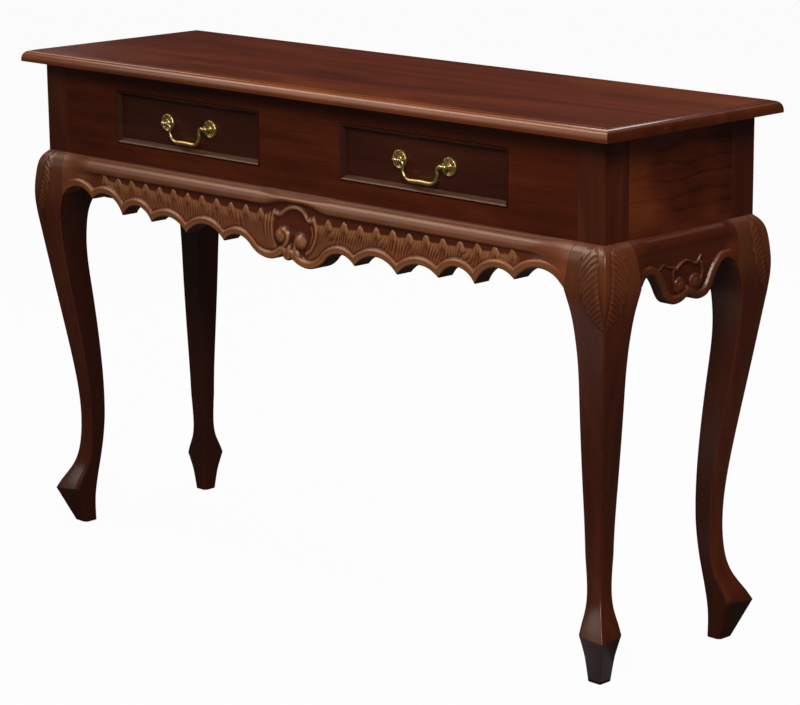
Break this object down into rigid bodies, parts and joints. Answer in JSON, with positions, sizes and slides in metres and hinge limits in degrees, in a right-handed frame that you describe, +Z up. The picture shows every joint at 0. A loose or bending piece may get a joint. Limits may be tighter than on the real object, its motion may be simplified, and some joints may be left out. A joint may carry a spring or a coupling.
{
  "type": "sofa table",
  "caption": "Long narrow sofa table on square cabriole legs, with drawers on bail handles above a scalloped, carved apron and a moulded top.",
  "frame": {"origin": "on the floor, under the middle of the table top", "axes": "+X along the length, to the right of someone facing the drawers; -Y out of the drawer fronts; +Z up"},
  "size_m": [1.27, 0.38, 0.8],
  "materials": {
    "mahogany": "dark red-brown stain under semi-gloss lacquer",
    "inner_wood": "bare planed secondary wood",
    "antique_brass": "polished brass, darkened in the hollows",
    "steel_screw": "plain zinc-plated"
  },
  "bodies": {
    "carcase": {"apron_glue_blocks": "inner_wood", "back_panel": "mahogany", "drawer_kicker_left": "inner_wood", "drawer_kicker_right": "inner_wood", "drawer_runner_left_inner": "inner_wood", "drawer_runner_left_outer": "inner_wood", "drawer_runner_right_inner": "inner_wood", "drawer_runner_right_outer": "inner_wood", "drawer_stops": "inner_wood", "front_apron": "mahogany", "front_bottom_rail": "mahogany", "front_centre_stile": "mahogany", "front_left_stile": "mahogany", "front_right_stile": "mahogany", "front_top_rail": "mahogany", "leg_front_left": "mahogany", "leg_front_right": "mahogany", "leg_rear_left": "mahogany", "leg_rear_right": "mahogany", "rear_apron": "mahogany", "side_apron_left": "mahogany", "side_apron_right": "mahogany", "side_panel_left": "mahogany", "side_panel_right": "mahogany", "table_top": "mahogany", "top_fixing_blocks": "inner_wood", "top_fixing_screws": "steel_screw"},
    "left_drawer": {"left_drawer_back": "inner_wood", "left_drawer_bottom": "inner_wood", "left_drawer_front": "mahogany", "left_drawer_side_left": "inner_wood", "left_drawer_side_right": "inner_wood", "left_handle_nuts": "antique_brass", "left_handle_posts": "antique_brass", "left_handle_rosettes": "antique_brass"},
    "left_bail": {"left_bail": "antique_brass"},
    "right_drawer": {"right_drawer_back": "inner_wood", "right_drawer_bottom": "inner_wood", "right_drawer_front": "mahogany", "right_drawer_side_left": "inner_wood", "right_drawer_side_right": "inner_wood", "right_handle_nuts": "antique_brass", "right_handle_posts": "antique_brass", "right_handle_rosettes": "antique_brass"},
    "right_bail": {"right_bail": "antique_brass"}
  },
  "joints": [
    {"name": "left_drawer_slide", "type": "slide", "parent": "carcase", "child": "left_drawer", "axis": [0, -1, 0], "range_m": [0, 0.2]},
    {"name": "left_bail_swing", "type": "hinge", "parent": "left_drawer", "child": "left_bail", "pos_m": [-0.25825, -0.165, 0.70975], "axis": [-1, 0, 0], "range_deg": [-15, 180]},
    {"name": "right_drawer_slide", "type": "slide", "parent": "carcase", "child": "right_drawer", "axis": [0, -1, 0], "range_m": [0, 0.2]},
    {"name": "right_bail_swing", "type": "hinge", "parent": "right_drawer", "child": "right_bail", "pos_m": [0.25825, -0.165, 0.70975], "axis": [-1, 0, 0], "range_deg": [-15, 180]}
  ]
}
